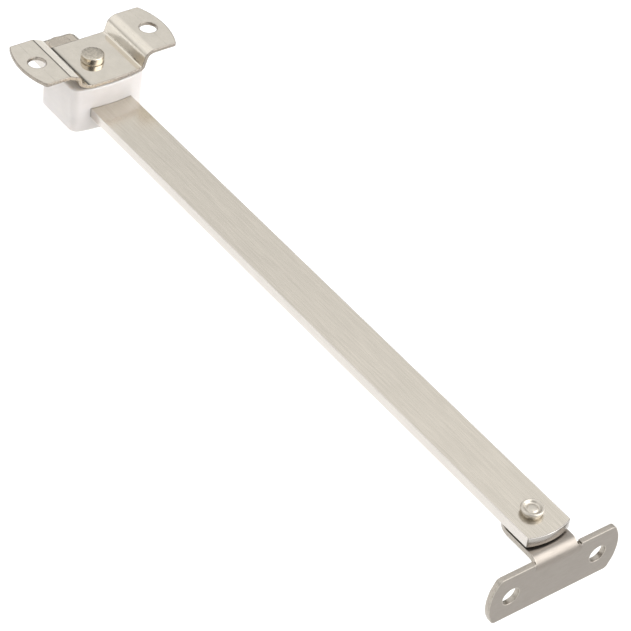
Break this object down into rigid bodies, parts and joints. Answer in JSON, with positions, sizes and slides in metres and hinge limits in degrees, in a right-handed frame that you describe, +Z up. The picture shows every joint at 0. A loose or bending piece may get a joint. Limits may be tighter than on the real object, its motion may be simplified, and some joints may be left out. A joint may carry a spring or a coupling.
{
  "type": "casement window stay",
  "caption": "Sliding window stay: a flat steel arm runs through a swivelling nylon friction block under a bent frame plate and ends in a pivoting T-shaped sash bracket.",
  "frame": {"origin": "middle of the frame plate's two screw holes, on the seating face of its tabs, which is also the block's swivel axis", "axes": "+Z up, out of the seating face towards the window frame; +X along the arm towards the sash bracket"},
  "size_m": [0.2368, 0.049, 0.0329],
  "materials": {
    "polished_steel": "bright rolled stainless sheet, lightly scuffed",
    "satin_steel": "satin stainless sheet with bright cut edges",
    "brushed_steel": "stainless flat bar brushed lengthwise",
    "turned_steel": "cold-formed stainless rivet, bright with a grainy top",
    "washer_steel": "plain pressed washer",
    "spring_steel": "plain rolled steel",
    "white_nylon": "moulded natural nylon, slightly translucent",
    "friction_pad": "dull friction plastic"
  },
  "bodies": {
    "frame": {"frame_plate": "polished_steel", "pivot_pin": "turned_steel", "thrust_washer": "washer_steel"},
    "block": {"block_housing": "white_nylon", "pivot_saddle": "spring_steel", "upper_friction_pad": "friction_pad", "lower_friction_pad": "friction_pad", "pressure_spring": "spring_steel", "base_plate": "brushed_steel"},
    "arm": {"arm_bar": "brushed_steel", "tail_stop": "brushed_steel", "tail_stop_rivet": "turned_steel", "bracket_rivet": "turned_steel", "bracket_spacer": "washer_steel"},
    "bracket": {"sash_bracket": "satin_steel"}
  },
  "joints": [
    {"name": "block_swivel", "type": "hinge", "parent": "frame", "child": "block", "pos_m": [0, 0, -0.0086], "axis": [0, 0, 1], "range_deg": [-90, 90]},
    {"name": "arm_slide", "type": "slide", "parent": "block", "child": "arm", "axis": [1, 0, 0], "range_m": [-0.17, 0.0042]},
    {"name": "bracket_swivel", "type": "hinge", "parent": "arm", "child": "bracket", "pos_m": [0.2034, 0, -0.01795], "axis": [0, 0, 1], "range_deg": [-90, 90]}
  ]
}
